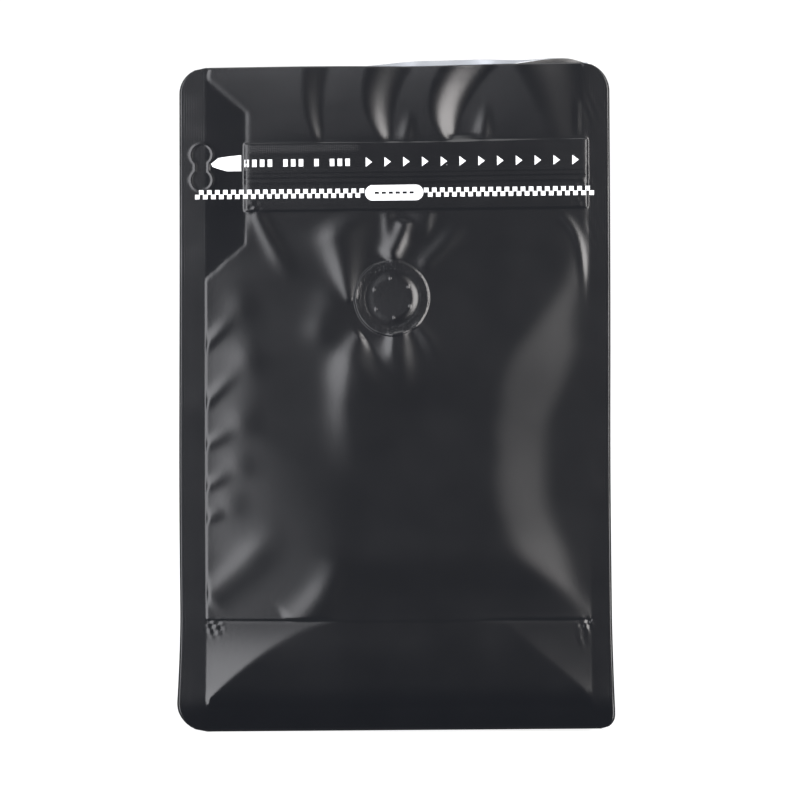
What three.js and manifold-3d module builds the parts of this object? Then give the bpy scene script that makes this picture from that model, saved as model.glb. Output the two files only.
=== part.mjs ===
// Flat-bottom coffee bag, empty and standing open. The pouch is one piece of welded film: a
// front panel, a back panel, two gussets folded inwards at the sides and a bottom panel set
// above a skirt. Behind the front panel sit the one-way valve, whose ring and pinholes show
// in the film, and the press-to-close strip under the tear band.
// Millimetres, +Z up. The front faces -Y, and the origin is the middle of the bag on the floor.
import * as THREE from "three";
import { mergeVertices } from "three/addons/utils/BufferGeometryUtils.js";
import Module from "manifold-3d";

const wasm = await Module();
wasm.setup();

// The pouch, flat size and seams
const BAG_WIDTH = 130;
const BAG_HEIGHT = 200;
const GUSSET_WIDTH = 70;
const SIDE_WELD_LEFT = 7.7;
const SIDE_WELD_RIGHT = 6.2;
const BOTTOM_WELD = 7;
const FILM = 1.2;
const GUSSET_FILM = 0.8;
const WELD_THICKNESS = 0.9;
const CORNER_TOP_LEFT = 6.5;
const CORNER_TOP_RIGHT = 7;
const CORNER_BOTTOM_LEFT = 7.5;
const CORNER_BOTTOM_RIGHT = 3.5;

// How far it stands open
const BASE_DEPTH = GUSSET_WIDTH - 2 * BOTTOM_WELD;
const MOUTH_DEPTH = 17;
const TAPER_POWER = 1.1;
const FRONT_BULGE = 8.5;
const FRONT_BULGE_TOP = 3.2;
const BACK_BULGE = 6.5;
const BACK_BULGE_TOP = 3;
const BULGE_POWER = 2.6;

// The crease left by the folded bottom, with an arch between two flat corner facets below it
const CREASE_Z = GUSSET_WIDTH / 2 - 1.7;
const CREASE_DEPTH = 0.5;
const CREASE_REACH = 17;
const FACET_DROP = 1;
const ARCH_FOOT_Z = 9.6;

// The wide weld at the upper left, where the tear tab is
const TAB_WELD_X = -45.3;
const TAB_WELD_LOW_Z = 146.3;
const TAB_WELD_HIGH_Z = 186.2;
const TAB_WELD_CHAMFER = 10.5;

// The tear band across the front
const BAND_LOW_Z = 156.4;
const BAND_HIGH_Z = 176.9;
const BAND_RAISE = 0.7;
const BAND_EDGE = 0.8;

// Waves in the loose film above the band: middle, half width and height of each
const WAVE_START_Z = 178;
const HEADER_WAVES = [
  { x: -47, width: 9, height: 1.1 },
  { x: -22, width: 5, height: 1.3 },
  { x: -3, width: 6, height: 1.5 },
  { x: 16, width: 7, height: 2 },
  { x: 50, width: 7, height: 1.2 },
];

// The valve and its mark in the film
const VALVE_X = -0.7;
const VALVE_Z = 130;
const VALVE_RADIUS = 11.3;
const VALVE_CAP_RADIUS = 7.8;
const VALVE_RAISE = 0.8;
const VALVE_GROOVE = 0.4;
const VALVE_CAP_DOME = 0.3;
const VALVE_FLANGE = 0.8;
const VALVE_HEIGHT = 4.2;
const VALVE_SIDES = 40;
const PINHOLES = 6;
const PINHOLE_CIRCLE = 5.9;
const PINHOLE_RADIUS = 0.45;
const PINHOLE_DEPTH = 0.7;
const PINHOLE_SIDES = 8;

// The press-to-close strip
const STRIP_FROM_X = -43;
const STRIP_TO_X = 46;
const STRIP_LOW_Z = 158;
const STRIP_HIGH_Z = 175;
const STRIP_THICKNESS = 0.7;
const STRIP_TRACK_Z = [165.2, 168.2];
const STRIP_TRACK_WIDTH = 1.4;
const STRIP_TRACK_HEIGHT = 1.5;
const STRIP_STEPS = 18;

// Clearance between pieces, and how finely the film is divided
const GAP = 0.4;
const FRONT_COLUMNS = 28;
const BACK_COLUMNS = 12;
const FOLD_STEPS = 3;
const ROW_STEP = 5;
const INNER_FRONT_COLUMNS = 18;
const INNER_BACK_COLUMNS = 8;
const INNER_FOLD_STEPS = 2;
const INNER_ROW_STEP = 10;

const WELD_LEFT_X = -BAG_WIDTH / 2 + SIDE_WELD_LEFT;
const WELD_RIGHT_X = BAG_WIDTH / 2 - SIDE_WELD_RIGHT;
const INNER_FLOOR_Z = BOTTOM_WELD + FILM;

const { lerp, clamp, smoothstep } = THREE.MathUtils;
const hump = (distance, halfWidth) => Math.exp(-((distance / halfWidth) ** 2));

// ---- The form of the pouch ----

// Half the distance between the front and back seams at height z.
function seamDepth(z) {
  const t = clamp(z / BAG_HEIGHT, 0, 1) ** TAPER_POWER;
  return lerp(BASE_DEPTH, MOUTH_DEPTH, t) / 2;
}

// How far the fold of a gusset lies inside the seams. A gusset keeps its length above the
// crease, and opens flat between there and the bottom.
function foldDepth(z) {
  const panel = BASE_DEPTH / 2 - WELD_THICKNESS;
  const openDepth = (height) => Math.sqrt(panel ** 2 - (seamDepth(height) - WELD_THICKNESS) ** 2);
  if (z >= CREASE_Z) return openDepth(Math.min(z, BAG_HEIGHT));
  const opened = clamp((z - BOTTOM_WELD) / (CREASE_Z - BOTTOM_WELD), 0, 1);
  return openDepth(CREASE_Z) * opened;
}

// The distance that a rounded corner takes off the sheet's side at height z.
function cornerCut(z, lowRadius, highRadius) {
  const low = Math.max(lowRadius - z, 0);
  const high = Math.max(highRadius - (BAG_HEIGHT - z), 0);
  const lowCut = lowRadius - Math.sqrt(Math.max(lowRadius ** 2 - low ** 2, 0));
  const highCut = highRadius - Math.sqrt(Math.max(highRadius ** 2 - high ** 2, 0));
  return Math.max(lowCut, highCut);
}

function sheetLeft(z) {
  const tip = -BAG_WIDTH / 2 + cornerCut(z, CORNER_BOTTOM_LEFT, CORNER_TOP_LEFT);
  return Math.min(tip, WELD_LEFT_X - GAP);
}

function sheetRight(z) {
  const tip = BAG_WIDTH / 2 - cornerCut(z, CORNER_BOTTOM_RIGHT, CORNER_TOP_RIGHT);
  return Math.max(tip, WELD_RIGHT_X + GAP);
}

// The left border of the loose film: the side weld, or the tab weld with its sloping ends.
function looseFrom(z) {
  const up = clamp((z - TAB_WELD_LOW_Z + TAB_WELD_CHAMFER) / TAB_WELD_CHAMFER, 0, 1);
  const down = clamp((TAB_WELD_HIGH_Z + TAB_WELD_CHAMFER - z) / TAB_WELD_CHAMFER, 0, 1);
  return lerp(WELD_LEFT_X, TAB_WELD_X, Math.min(up, down));
}

// 0 at the borders of the loose film and 1 in its middle.
function across(x, from, to) {
  const u = clamp((2 * x - from - to) / (to - from), -1, 1);
  return 1 - Math.abs(u) ** BULGE_POWER;
}

function bulgeHeight(z, full, top) {
  const rise = smoothstep(z, BOTTOM_WELD, 50);
  const fall = smoothstep(z, 95, 185);
  return full * rise - (full - top) * fall;
}

// Height of the arch under the crease at x.
function archTop(x) {
  const out = Math.max(Math.abs(x) - CREASE_REACH, 0) / (WELD_RIGHT_X - CREASE_REACH);
  return CREASE_Z - (CREASE_Z - ARCH_FOOT_Z) * out ** 2;
}

// How far the front film stands out in front of the seams: its broad form.
function frontForm(x, z) {
  const loose = across(x, looseFrom(z), WELD_RIGHT_X);
  let out = bulgeHeight(z, FRONT_BULGE, FRONT_BULGE_TOP) * loose;
  const facet = smoothstep(z - archTop(x), 0, 5) * (1 - smoothstep(z, CREASE_Z - 1, CREASE_Z + 3));
  out -= FACET_DROP * facet * loose;
  const ruffle = smoothstep(z, WAVE_START_Z, WAVE_START_Z + 9);
  for (const wave of HEADER_WAVES) {
    out += wave.height * hump(x - wave.x, wave.width) * ruffle * loose;
  }
  return out;
}

// The narrow marks in the front film: the crease and the raised band.
function frontMarks(x, z) {
  const beside = smoothstep(Math.abs(x), CREASE_REACH - 4, CREASE_REACH + 4);
  const inside = smoothstep(across(x, WELD_LEFT_X, WELD_RIGHT_X), 0, 0.2);
  const crease = -CREASE_DEPTH * hump(z - CREASE_Z, 1.2) * beside * inside;
  const low = smoothstep(z, BAND_LOW_Z - BAND_EDGE, BAND_LOW_Z);
  const high = 1 - smoothstep(z, BAND_HIGH_Z, BAND_HIGH_Z + BAND_EDGE);
  const side = smoothstep(x, TAB_WELD_X, TAB_WELD_X + 1.5);
  return crease + BAND_RAISE * low * high * side;
}

function backForm(x, z) {
  const loose = across(x, WELD_LEFT_X, WELD_RIGHT_X);
  return bulgeHeight(z, BACK_BULGE, BACK_BULGE_TOP) * loose;
}

const frontSurface = (x, z) => -seamDepth(z) - frontForm(x, z) - frontMarks(x, z);
const backSurface = (x, z) => seamDepth(z) + backForm(x, z);
const frontInside = (x, z) => -seamDepth(z) - frontForm(x, z) + FILM;
const backInside = (x, z) => backSurface(x, z) - FILM;

// ---- Sections of the pouch, each a loop that runs to the left round the outside ----

const span = (from, to, steps) =>
  Array.from({ length: steps + 1 }, (_, i) => lerp(from, to, i / steps));

// One gusset from its front root to its fold and to its back root.
function foldedSide(root, fold, rootY, steps) {
  const front = span(0, 1, steps).map((t) => [lerp(root, fold, t), lerp(-rootY, 0, t)]);
  const back = span(0, 1, steps).map((t) => [lerp(fold, root, t), lerp(0, rootY, t)]);
  return [...front, ...back.slice(1)];
}

function outerLoop(z) {
  const seam = seamDepth(z);
  const weldBack = seam - WELD_THICKNESS;
  const left = sheetLeft(z);
  const right = sheetRight(z);
  const frontXs = span(WELD_LEFT_X, WELD_RIGHT_X, FRONT_COLUMNS);
  const backXs = span(WELD_RIGHT_X, WELD_LEFT_X, BACK_COLUMNS);
  const rightFold = WELD_RIGHT_X - foldDepth(z);
  const leftFold = WELD_LEFT_X + foldDepth(z);
  const loop = [
    [left, -seam],
    ...frontXs.map((x) => [x, frontSurface(x, z)]),
    [right, -seam],
    [right, -weldBack],
    ...foldedSide(WELD_RIGHT_X, rightFold, weldBack, FOLD_STEPS),
    [right, weldBack],
    [right, seam],
    ...backXs.map((x) => [x, backSurface(x, z)]),
    [left, seam],
    [left, weldBack],
    ...foldedSide(WELD_LEFT_X, leftFold, weldBack, FOLD_STEPS).reverse(),
    [left, -weldBack],
  ];
  return loop.map(([x, y]) => new THREE.Vector3(x, y, z));
}

// Where the inside of a gusset meets the inside of the front or back film, and its fold,
// both measured inwards from the gusset's root.
function innerCorners(z) {
  const rise = seamDepth(z) - WELD_THICKNESS;
  const run = foldDepth(z);
  const length = Math.hypot(rise, run);
  const slide = ((FILM - WELD_THICKNESS) * length + GUSSET_FILM * run) / rise;
  const corner = (GUSSET_FILM * rise + slide * run) / length;
  return { corner, fold: run + (GUSSET_FILM * length) / rise };
}

function innerLoop(z) {
  const { corner, fold } = innerCorners(z);
  const rootY = seamDepth(z) - FILM;
  const right = WELD_RIGHT_X - corner;
  const left = WELD_LEFT_X + corner;
  const frontXs = span(left, right, INNER_FRONT_COLUMNS).slice(1, -1);
  const backXs = span(right, left, INNER_BACK_COLUMNS).slice(1, -1);
  const loop = [
    ...frontXs.map((x) => [x, frontInside(x, Math.min(z, BAG_HEIGHT))]),
    ...foldedSide(right, WELD_RIGHT_X - fold, rootY, INNER_FOLD_STEPS),
    ...backXs.map((x) => [x, backInside(x, Math.min(z, BAG_HEIGHT))]),
    ...foldedSide(left, WELD_LEFT_X + fold, rootY, INNER_FOLD_STEPS).reverse(),
  ];
  return loop.map(([x, y]) => new THREE.Vector3(x, y, z));
}

// The space under the bottom panel, inside the skirt.
function recessLoop(z) {
  const depth = seamDepth(z) - FILM;
  const left = WELD_LEFT_X + GUSSET_FILM;
  const right = WELD_RIGHT_X - GUSSET_FILM;
  const corners = [[left, -depth], [right, -depth], [right, depth], [left, depth]];
  return corners.map(([x, y]) => new THREE.Vector3(x, y, z));
}

// Heights of the sections: even steps, with one on each side of every sharp mark.
function rows(from, to, step, extra) {
  const even = span(from, to, Math.round((to - from) / step)).slice(1, -1);
  const kept = even.filter((z) => extra.every((mark) => Math.abs(mark - z) > step / 4));
  return [from, ...kept, ...extra, to].sort((a, b) => a - b);
}

// ---- Solids ----

// Closed solid through loops of points, all with the same number of points. flat turns a
// point of an end loop into the plane in which that end is filled.
function loft(loops, flat) {
  const count = loops[0].length;
  const positions = loops.flat().flatMap((point) => point.toArray());
  const index = [];
  for (let row = 0; row < loops.length - 1; row++) {
    for (let i = 0; i < count; i++) {
      const a = row * count + i;
      const b = row * count + ((i + 1) % count);
      index.push(a, b, b + count, a, b + count, a + count);
    }
  }
  const last = (loops.length - 1) * count;
  for (const [a, b, c] of THREE.ShapeUtils.triangulateShape(loops[0].map(flat), [])) {
    index.push(a, c, b);
  }
  for (const [a, b, c] of THREE.ShapeUtils.triangulateShape(loops.at(-1).map(flat), [])) {
    index.push(last + a, last + b, last + c);
  }
  const geometry = new THREE.BufferGeometry();
  geometry.setAttribute("position", new THREE.Float32BufferAttribute(positions, 3));
  geometry.setIndex(index);
  return geometry;
}

function solid(geometry) {
  const bare = geometry.clone();
  bare.deleteAttribute("normal");
  bare.deleteAttribute("uv");
  const merged = mergeVertices(bare, 1e-4);
  const vertProperties = new Float32Array(merged.getAttribute("position").array);
  const triVerts = new Uint32Array(merged.getIndex().array);
  return new wasm.Manifold(new wasm.Mesh({ numProp: 3, vertProperties, triVerts }));
}

function geometryOf(manifold) {
  const mesh = manifold.getMesh();
  const geometry = new THREE.BufferGeometry();
  geometry.setAttribute("position", new THREE.BufferAttribute(mesh.vertProperties, 3));
  geometry.setIndex(new THREE.BufferAttribute(mesh.triVerts, 1));
  return geometry;
}

const seenFromAbove = (point) => new THREE.Vector2(point.x, point.y);
const seenFromRight = (point) => new THREE.Vector2(point.y, point.z);

// Solid turned about an axis that points out of the front film at the valve.
function turnedAtValve(profile, sides) {
  const points = profile.map(([radius, height]) => new THREE.Vector2(radius, height));
  return new THREE.LatheGeometry(points, sides).applyMatrix4(valveFrame);
}

// The place of the valve: +Y of this frame points out of the film.
const valveFrame = (() => {
  const reach = VALVE_RADIUS;
  const low = frontSurface(VALVE_X, VALVE_Z - reach);
  const high = frontSurface(VALVE_X, VALVE_Z + reach);
  const left = frontSurface(VALVE_X - reach, VALVE_Z);
  const right = frontSurface(VALVE_X + reach, VALVE_Z);
  const out = new THREE.Vector3((right - left) / (2 * reach), -1, (high - low) / (2 * reach));
  const turn = new THREE.Quaternion().setFromUnitVectors(
    new THREE.Vector3(0, 1, 0),
    out.normalize(),
  );
  const place = new THREE.Vector3(VALVE_X, frontSurface(VALVE_X, VALVE_Z), VALVE_Z);
  return new THREE.Matrix4().compose(place, turn, new THREE.Vector3(1, 1, 1));
})();

// The film drawn over the valve: a raised ring, a groove and a shallow dome.
function valveMark() {
  const mark = turnedAtValve(
    [
      [0, -FILM / 2],
      [VALVE_RADIUS, -FILM / 2],
      [VALVE_RADIUS, VALVE_RAISE - 0.3],
      [VALVE_RADIUS - 0.4, VALVE_RAISE],
      [VALVE_RADIUS - 1.1, VALVE_RAISE],
      [VALVE_RADIUS - 1.6, VALVE_GROOVE],
      [VALVE_CAP_RADIUS + 0.6, VALVE_GROOVE],
      [VALVE_CAP_RADIUS, VALVE_RAISE],
      [VALVE_CAP_RADIUS / 2, VALVE_RAISE + VALVE_CAP_DOME * 0.8],
      [0, VALVE_RAISE + VALVE_CAP_DOME],
    ],
    VALVE_SIDES,
  );
  let skin = solid(mark);
  for (let i = 0; i < PINHOLES; i++) {
    const angle = ((i + 0.5) / PINHOLES) * 2 * Math.PI;
    const pin = new THREE.ConeGeometry(PINHOLE_RADIUS, 2 * PINHOLE_DEPTH, PINHOLE_SIDES);
    pin.rotateX(Math.PI);
    pin.translate(
      PINHOLE_CIRCLE * Math.cos(angle),
      VALVE_RAISE + VALVE_CAP_DOME,
      PINHOLE_CIRCLE * Math.sin(angle),
    );
    skin = skin.subtract(solid(pin.applyMatrix4(valveFrame)));
  }
  return skin;
}

// The film pouch: its outside, less the inside and the recess under the bottom.
function pouch() {
  const marks = [
    BOTTOM_WELD,
    CREASE_Z - 1.6,
    CREASE_Z,
    CREASE_Z + 1.6,
    BAND_LOW_Z - BAND_EDGE,
    BAND_LOW_Z,
    BAND_HIGH_Z,
    BAND_HIGH_Z + BAND_EDGE,
    BAG_HEIGHT - CORNER_TOP_RIGHT,
    BAG_HEIGHT - CORNER_TOP_RIGHT * 0.3,
    BAG_HEIGHT - CORNER_TOP_RIGHT * 0.1,
    CORNER_BOTTOM_RIGHT * 0.1,
    CORNER_BOTTOM_RIGHT * 0.4,
  ];
  const outside = rows(0, BAG_HEIGHT, ROW_STEP, marks).map(outerLoop);
  const inside = rows(INNER_FLOOR_Z, BAG_HEIGHT, INNER_ROW_STEP, []).map(innerLoop);
  inside.push(innerLoop(BAG_HEIGHT + FILM));
  const recess = [-FILM, BOTTOM_WELD].map(recessLoop);
  return solid(loft(outside, seenFromAbove))
    .add(valveMark())
    .subtract(solid(loft(inside, seenFromAbove)))
    .subtract(solid(loft(recess, seenFromAbove)));
}

// The valve behind the film: a wide thin flange and a smaller body.
function valveBody() {
  const back = -FILM - GAP - 0.4;
  return turnedAtValve(
    [
      [0, back - VALVE_HEIGHT],
      [VALVE_CAP_RADIUS - 0.8, back - VALVE_HEIGHT],
      [VALVE_CAP_RADIUS, back - VALVE_HEIGHT + 0.8],
      [VALVE_CAP_RADIUS, back - VALVE_FLANGE],
      [VALVE_RADIUS - 0.3, back - VALVE_FLANGE],
      [VALVE_RADIUS - 0.3, back],
      [0, back],
    ],
    VALVE_SIDES,
  );
}

// The strip behind the band: a thin base with two tracks, which follows the film.
function closureStrip() {
  const outline = [[STRIP_LOW_Z, 0], [STRIP_LOW_Z, STRIP_THICKNESS]];
  for (const track of STRIP_TRACK_Z) {
    const half = STRIP_TRACK_WIDTH / 2;
    outline.push([track - half, STRIP_THICKNESS], [track - half, STRIP_TRACK_HEIGHT]);
    outline.push([track + half, STRIP_TRACK_HEIGHT], [track + half, STRIP_THICKNESS]);
  }
  outline.push([STRIP_HIGH_Z, STRIP_THICKNESS], [STRIP_HIGH_Z, 0]);
  const loops = span(STRIP_FROM_X, STRIP_TO_X, STRIP_STEPS).map((x) =>
    outline.map(([z, depth]) => new THREE.Vector3(x, frontInside(x, z) + GAP + depth, z)),
  );
  return loft(loops, seenFromRight);
}

// ---- The bag ----

const filmMaterial = new THREE.MeshStandardMaterial({
  color: 0x1c1c1e,
  roughness: 0.42,
  metalness: 0,
});
const valveMaterial = new THREE.MeshStandardMaterial({
  color: 0x141414,
  roughness: 0.5,
  metalness: 0,
});
const stripMaterial = new THREE.MeshStandardMaterial({
  color: 0xd8dce0,
  roughness: 0.35,
  metalness: 0,
});

const film = geometryOf(pouch());
film.computeBoundingBox();

// The front bulges more than the back, so the whole is moved until its box is centred.
const centring = -(film.boundingBox.min.y + film.boundingBox.max.y) / 2;

function piece(name, geometry, material) {
  const mesh = new THREE.Mesh(geometry, material);
  mesh.name = name;
  mesh.position.y = centring;
  return mesh;
}

const bag = new THREE.Group();
bag.name = "coffee_bag";
bag.add(
  piece("pouch", film, filmMaterial),
  piece("valve", valveBody(), valveMaterial),
  piece("closure_strip", closureStrip(), stripMaterial),
);

export default bag;
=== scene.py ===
import math

import bmesh
import bpy
import numpy as np
from mathutils import Matrix, Vector

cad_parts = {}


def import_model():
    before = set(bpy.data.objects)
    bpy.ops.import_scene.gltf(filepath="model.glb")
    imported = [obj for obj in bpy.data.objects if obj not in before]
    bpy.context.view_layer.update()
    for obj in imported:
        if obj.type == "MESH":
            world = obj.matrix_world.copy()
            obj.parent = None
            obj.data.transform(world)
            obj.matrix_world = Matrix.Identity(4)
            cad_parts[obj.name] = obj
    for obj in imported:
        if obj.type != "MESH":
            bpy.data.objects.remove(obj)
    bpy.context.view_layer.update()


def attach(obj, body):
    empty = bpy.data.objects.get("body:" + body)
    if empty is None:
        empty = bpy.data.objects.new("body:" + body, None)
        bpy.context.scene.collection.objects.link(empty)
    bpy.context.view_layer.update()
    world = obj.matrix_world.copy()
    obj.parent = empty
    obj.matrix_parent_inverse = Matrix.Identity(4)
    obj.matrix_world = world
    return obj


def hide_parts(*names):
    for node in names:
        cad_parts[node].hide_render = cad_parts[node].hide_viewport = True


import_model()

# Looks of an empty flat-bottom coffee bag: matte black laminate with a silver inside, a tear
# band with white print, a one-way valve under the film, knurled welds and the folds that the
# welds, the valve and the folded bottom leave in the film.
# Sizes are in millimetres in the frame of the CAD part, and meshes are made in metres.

MM = 0.001

# ---- Sizes ----

BAG_WIDTH = 130
BAG_HEIGHT = 200
GUSSET_WIDTH = 70
SIDE_WELD_LEFT = 7.7
SIDE_WELD_RIGHT = 6.2
BOTTOM_WELD = 7
CORNERS = {"low_left": 9.3, "low_right": 4.2, "high_left": 7.9, "high_right": 8.8}
FLARE_LEFT = 1.35
FLARE_RIGHT = 0.65
FLARE_TOP_Z = 36
FLARE_LENGTH = 30
FIN_DRIFT = 0.33
FIN_DRIFT_Z = 75
FIN_DRIFT_REACH = 45
FIN_INNER = 2
BASE_DEPTH = GUSSET_WIDTH - 2 * BOTTOM_WELD
MOUTH_DEPTH = 17
TAPER_POWER = 1.1
MID_Y = 0.96
FILM = 0.35
WELD_THICKNESS = 0.7

WELD_LEFT_X = -BAG_WIDTH / 2 + SIDE_WELD_LEFT
WELD_RIGHT_X = BAG_WIDTH / 2 - SIDE_WELD_RIGHT

# The front film: a gentle pillow, a band that falls to the right weld and a side that falls
# to the left one, with their tilts in degrees
PILLOW = 0.35
RIGHT_BAND_TILT = 6.5
RIGHT_BAND_X = 38
RIGHT_BAND_SWING = 20
RIGHT_BAND_HALF = 8.5
LEFT_SIDE_TILTS = {"foot": 4.2, "low": 6.8, "middle": 4.5, "high": 2.5}
BACK_PILLOW = 3.6
WELD_LIP = 0.14
HEADER_STAND = 0.12
BODY_TOP_Z = (140, 158)
SKIRT_CURL = 0.006
ARCH_LEFT = 16.5
ARCH_RIGHT = 31
BACK_ARCH_LEFT = 24
BACK_ARCH_RIGHT = 26
ARCH_FOOT_LEFT_Z = 8
ARCH_FOOT_RIGHT_Z = 10
CREASE_Z = GUSSET_WIDTH / 2 - 1.7
CREASE_DEPTH = 0.16
RIM_FROM_Z = 190

TAB_WELD_X = -45.3
TAB_WELD_LOW_Z = 146.3
TAB_WELD_HIGH_Z = 186.2
TAB_WELD_CHAMFER = 10.5

BAND_LOW_Z = 156.6
BAND_HIGH_Z = 176.9
BAND_RAISE = 0.3
BAND_SLOPE = 0.004
BAND_RIDGES = (165.2, 166.8, 168.2)
RIDGE_HEIGHT = 0.2
BAND_LINES = (171.6, 174.6, 158.6)
LINE_HEIGHT = 0.05

STRIP_FROM_X = -43
STRIP_TO_X = 46
STRIP_LOW_Z = 158
STRIP_HIGH_Z = 175
STRIP_TRACKS = (165.2, 168.2)
STRIP_THICKNESS = 0.5
STRIP_GAP = 0.35
TRACK_HEIGHT = 0.9

VALVE_X = -0.7
VALVE_Z = 130
VALVE_RADIUS = 11.4
VALVE_HEIGHT = 4.2
VALVE_CAP_RADIUS = 7.8
PINHOLES = 6
PINHOLE_CIRCLE = 5.9
PINHOLE_FROM = 95
PINHOLE_HEIGHT = 0.16
PINHOLE_HALF = 0.45
PINHOLE_PROFILE = (-0.5, 0.08, 0.3)
RIM_INSIDE = 0.25
RIM_LEFT = 0.2
RIM_LOW_LEFT = 0.42
RIM_RIGHT = 0.21
DISC_STAND = 0.22
DISC_SLOPE = 0.036

TAB_X = -58.2
TAB_LOBES_Z = (165.9, 173.6)
TAB_RADIUS = 3.3
TAB_NECK = 0.62
TAB_RELIEF = 0.16
TAB_LINE = 0.42

# The camera looks from a little to the right of the bag's own front and from above. Its angles
# are in degrees and its target is in millimetres.
CAMERA_AZIMUTH = 2.0
CAMERA_ELEVATION = 4.3
CAMERA_ROLL = 0.45
CAMERA_TARGET = (1.52, -20, 99.46)
CAMERA_METRES = 1.0
SENSOR_WIDTH = 36
PICTURE_WIDTH = 800
PIXELS_PER_MM = 3.3265


# ---- Shaping functions on arrays of x and z ----

def smooth(low, high, value):
    t = np.clip((value - low) / (high - low), 0, 1)
    return t * t * (3 - 2 * t)


def hump(distance, half_width):
    return np.exp(-(distance / half_width) ** 2)


def mix(a, b, t):
    return a + (b - a) * t


def seam_depth(z):
    t = np.clip(z / BAG_HEIGHT, 0, 1) ** TAPER_POWER
    return mix(BASE_DEPTH, MOUTH_DEPTH, t) / 2


def fold_depth(z, wall):
    """How far the fold of a gusset lies inside the seams."""
    panel = BASE_DEPTH / 2 - wall

    def opened(height):
        rise = seam_depth(height) - wall
        return np.sqrt(np.maximum(panel ** 2 - rise ** 2, 0))

    share = np.clip((z - BOTTOM_WELD) / (CREASE_Z - BOTTOM_WELD), 0, 1)
    return np.where(z >= CREASE_Z, opened(z), opened(CREASE_Z) * share)


def corner_cut(z, low_radius, high_radius):
    low = np.clip(low_radius - z, 0, low_radius)
    high = np.clip(high_radius - (BAG_HEIGHT - z), 0, high_radius)
    low_cut = low_radius - np.sqrt(low_radius ** 2 - low ** 2)
    high_cut = high_radius - np.sqrt(high_radius ** 2 - high ** 2)
    return np.maximum(low_cut, high_cut)


def sheet_x(x, z):
    """x of a sheet's point, with its fins drawn in to the rounded corners."""
    flare = np.clip((FLARE_TOP_Z - z) / FLARE_LENGTH, 0, 1) ** 1.6
    left_cut = corner_cut(z, CORNERS["low_left"], CORNERS["high_left"])
    right_cut = corner_cut(z, CORNERS["low_right"], CORNERS["high_right"])
    drift = FIN_DRIFT * hump(z - FIN_DRIFT_Z, FIN_DRIFT_REACH)
    left = -BAG_WIDTH / 2 + left_cut - FLARE_LEFT * flare - drift
    right = BAG_WIDTH / 2 - right_cut + FLARE_RIGHT * flare - drift
    inner_left = WELD_LEFT_X + FIN_INNER
    inner_right = WELD_RIGHT_X - FIN_INNER
    t_left = np.clip((x - inner_left) / (-BAG_WIDTH / 2 - inner_left), 0, 1)
    t_right = np.clip((x - inner_right) / (BAG_WIDTH / 2 - inner_right), 0, 1)
    x = np.where(t_left > 0, mix(inner_left, left, t_left), x)
    return np.where(t_right > 0, mix(inner_right, right, t_right), x)


def loose_from(z):
    """The left border of the loose film: the side weld, or the wide weld at the tear tab."""
    up = np.clip((z - TAB_WELD_LOW_Z + TAB_WELD_CHAMFER) / TAB_WELD_CHAMFER, 0, 1)
    down = np.clip((TAB_WELD_HIGH_Z + TAB_WELD_CHAMFER - z) / TAB_WELD_CHAMFER, 0, 1)
    return mix(WELD_LEFT_X, TAB_WELD_X, np.minimum(up, down))


def across(x, low, high, power=2.6):
    u = np.clip((2 * x - low - high) / (high - low), -1, 1)
    return 1 - np.abs(u) ** power


# ---- Folds ----

LEFT = -1
RIGHT = 1
# A fold's crest lies this many half widths from its line, and exp(-u * u) is this steep at most.
CREST = 0.85
STEEPEST = 0.858
LINE_STEPS = 30


class Fold:
    """A fold of the film, told by the flank that catches the light.

    The line runs along the middle of that flank, straight or through a third point. The half
    widths are those of the fold at the line's ends, and the tilt is the flank's steepest, in
    degrees. The flank behind the crest is wider by the factor back, and so less steep.
    """

    def __init__(self, faces, line, width, tilt, back=1.0, fade=0.25):
        self.faces = faces
        self.line = np.array(line, float)
        self.width = width
        self.tilt = tilt if isinstance(tilt, tuple) else (tilt, tilt)
        self.back = back
        self.fade = fade if isinstance(fade, tuple) else (fade, fade)

    def at(self, t):
        """Point and direction of the line, a share t of the way along it."""
        first, last = self.line[0], self.line[-1]
        middle = self.line[1] if len(self.line) == 3 else (first + last) / 2
        bend = 2 * middle - (first + last) / 2
        point = [mix(mix(first[i], bend[i], t), mix(bend[i], last[i], t), t) for i in (0, 1)]
        way = [2 * mix(bend[i] - first[i], last[i] - bend[i], t) for i in (0, 1)]
        return (*point, *way)

    def follow(self, x, z):
        """Share of the way along the line, and the distance to its right, looking up."""
        best = np.full(x.shape, np.inf)
        t = np.zeros(x.shape)
        for step in np.linspace(0, 1, LINE_STEPS + 1):
            px, pz, _, _ = self.at(step)
            far = (x - px) ** 2 + (z - pz) ** 2
            t = np.where(far < best, step, t)
            best = np.minimum(far, best)
        px, pz, dx, dz = self.at(t)
        ahead = ((x - px) * dx + (z - pz) * dz) / (dx * dx + dz * dz)
        t = np.clip(t + np.clip(ahead, -1 / LINE_STEPS, 1 / LINE_STEPS), 0, 1)
        px, pz, dx, dz = self.at(t)
        off = ((x - px) * dz - (z - pz) * dx) / np.hypot(dx, dz)
        return t, off * np.where(dz < 0, -1, 1)

    def height(self, x, z):
        out = np.zeros(x.shape)
        reach = 3 * max(self.width) * max(self.back, 1)
        low = self.line.min(axis=0) - reach
        high = self.line.max(axis=0) + reach
        near = (x > low[0]) & (x < high[0]) & (z > low[1]) & (z < high[1])
        if not near.any():
            return out
        t, off = self.follow(x[near], z[near])
        width = mix(*self.width, t)
        tilt = np.radians(mix(*self.tilt, t))
        u = CREST + self.faces * off / width
        u = np.where(u < 0, u / self.back, u)
        ends = smooth(0, self.fade[0], t) * (1 - smooth(1 - self.fade[1], 1, t))
        out[near] = np.tan(tilt) * width / STEEPEST * ends * np.exp(-u * u)
        return out


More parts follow.
